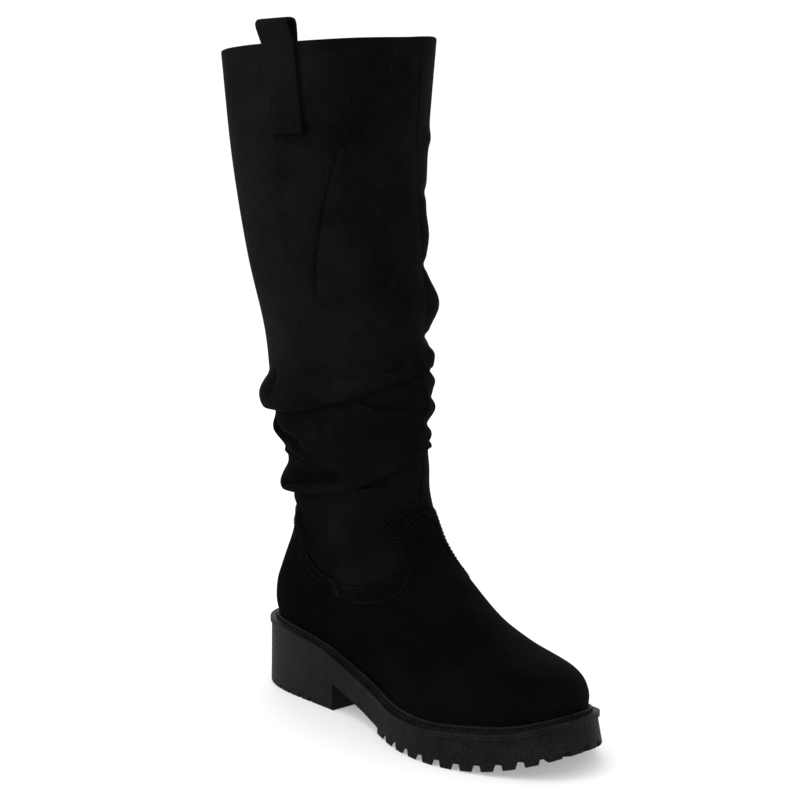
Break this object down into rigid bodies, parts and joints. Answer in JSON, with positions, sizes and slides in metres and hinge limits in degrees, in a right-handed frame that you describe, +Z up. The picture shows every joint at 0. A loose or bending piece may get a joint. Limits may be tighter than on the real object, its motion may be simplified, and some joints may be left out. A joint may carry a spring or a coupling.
{
  "type": "slouch boot",
  "caption": "Tall pull-on slouch boot with a suede-like upper, gathered shaft, ankle band, pull loop and a lugged unit sole with a block heel.",
  "frame": {"origin": "centre of the bounding box on the floor plane under the sole", "axes": "+X to the toe, +Y to the inner side of the foot, +Z up along the shaft"},
  "size_m": [0.2785, 0.1278, 0.4239],
  "materials": {
    "outsole": "matt moulded rubber, finely pebbled side",
    "welt": "satin moulded rubber",
    "insole": "matt textile sock",
    "upper": "brushed suede-like microfibre",
    "shaft": "brushed suede-like microfibre",
    "ankle_band": "brushed suede-like microfibre",
    "pull_loop": "brushed suede-like microfibre tape"
  },
  "bodies": {
    "root": {"outsole": "outsole", "welt": "welt", "insole": "insole", "upper": "upper", "shaft": "shaft", "ankle_band": "ankle_band", "pull_loop": "pull_loop"}
  },
  "joints": []
}
